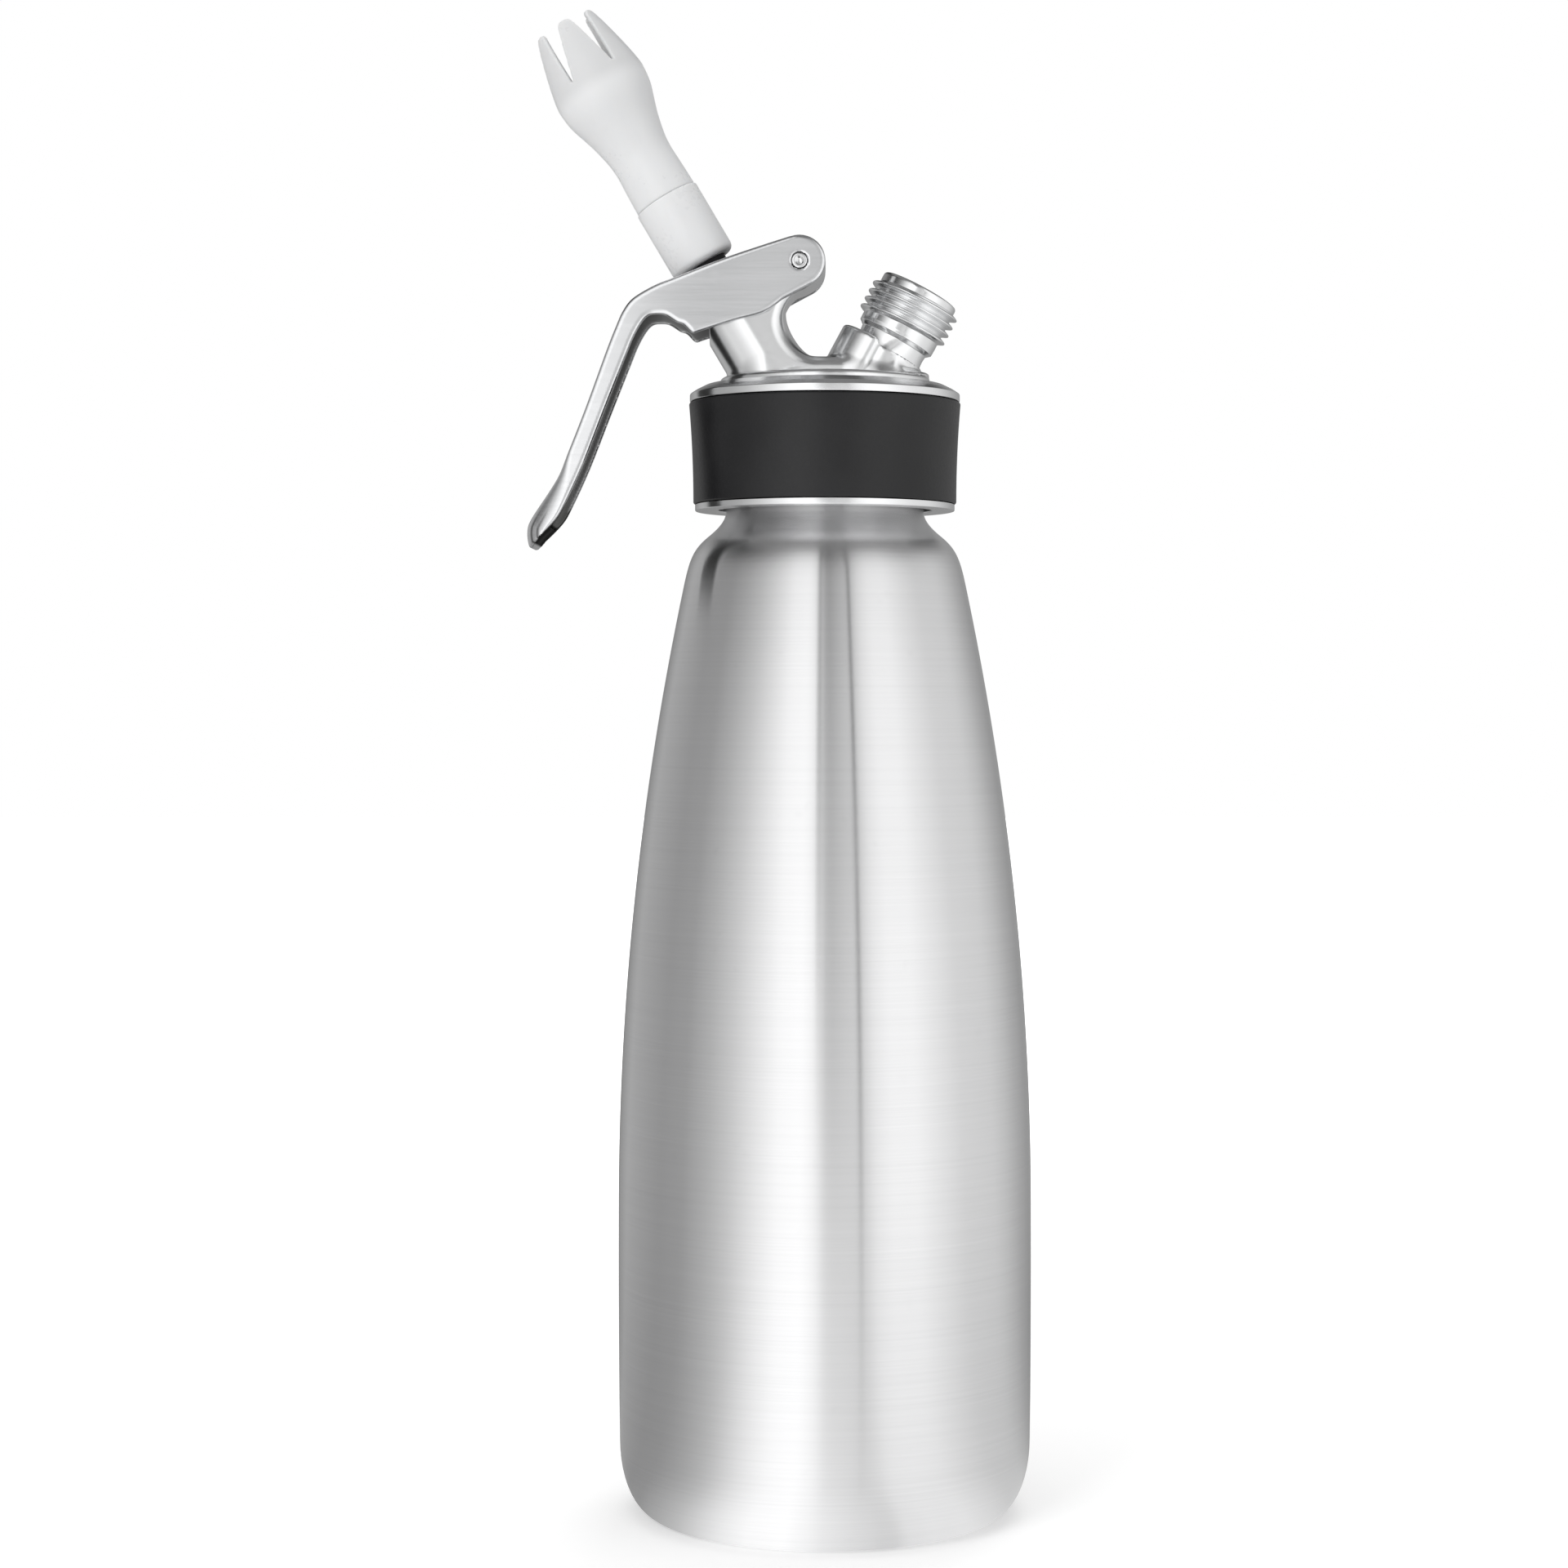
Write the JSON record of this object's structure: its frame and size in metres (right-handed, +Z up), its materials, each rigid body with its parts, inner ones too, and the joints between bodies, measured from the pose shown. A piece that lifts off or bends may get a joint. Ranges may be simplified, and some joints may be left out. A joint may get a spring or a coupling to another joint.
{
  "type": "whipped cream dispenser",
  "caption": "Tall brushed steel cream bottle with a screw-on head, a squeeze lever that opens a spring valve, a tulip tip and an open threaded gas port.",
  "frame": {"origin": "centre of the bottle's flat base", "axes": "+Z up along the bottle's axis, -X toward the lever and the tip, +X toward the gas port, -Y toward the camera"},
  "size_m": [0.116, 0.0952, 0.3459],
  "materials": {
    "bottle_steel": "brushed, satin",
    "head_steel": "cast, bead blasted and brushed",
    "polished_steel": "turned and polished",
    "band_silicone": "matt",
    "gasket_silicone": "matt",
    "seal_rubber": "matt",
    "adapter_plastic": "moulded",
    "tip_plastic": "moulded, milky and slightly translucent",
    "guide_plastic": "machined"
  },
  "bodies": {
    "bottle": {"bottle": "bottle_steel"},
    "gasket": {"head_gasket": "gasket_silicone"},
    "head": {"head_body": "head_steel", "grip_band": "band_silicone", "hinge_pin": "polished_steel", "stem_guide": "guide_plastic", "stem_o_ring": "seal_rubber", "valve_spring": "polished_steel", "charger_port": "polished_steel", "piercing_pin": "polished_steel", "pin_seal": "seal_rubber", "charger_seal": "seal_rubber", "gas_check_valve": "seal_rubber"},
    "lever": {"lever": "head_steel"},
    "valve": {"valve_stem": "polished_steel", "stem_adapter": "adapter_plastic", "plunger_seal": "seal_rubber", "plunger_retainer": "polished_steel", "tip_insert": "polished_steel", "tip_collar": "tip_plastic", "tulip_tip": "tip_plastic"}
  },
  "joints": [
    {"name": "head_rise", "type": "slide", "parent": "bottle", "child": "gasket", "axis": [0, 0, 1], "range_m": [0, 0.0046]},
    {"name": "head_unscrew", "type": "hinge", "parent": "gasket", "child": "head", "pos_m": [0, 0, 0.2528], "axis": [0, 0, 1], "range_deg": [0, 540]},
    {"name": "lever_press", "type": "hinge", "parent": "head", "child": "lever", "pos_m": [-0.0058, 0, 0.2866], "axis": [0, -1, 0], "range_deg": [0, 7.6], "stiffness_Nm_per_rad": 1.5, "springref_deg": -12.03},
    {"name": "valve_travel", "type": "slide", "parent": "head", "child": "valve", "axis": [0.509, 0, -0.8607], "range_m": [0, 0.0025], "deforming": ["valve_spring"]}
  ],
  "couplings": [
    {"joint": "head_rise", "follows": "head_unscrew", "m_per_rad": 0.00047746},
    {"joint": "valve_travel", "follows": "lever_press", "m_per_rad": 0.01867}
  ]
}
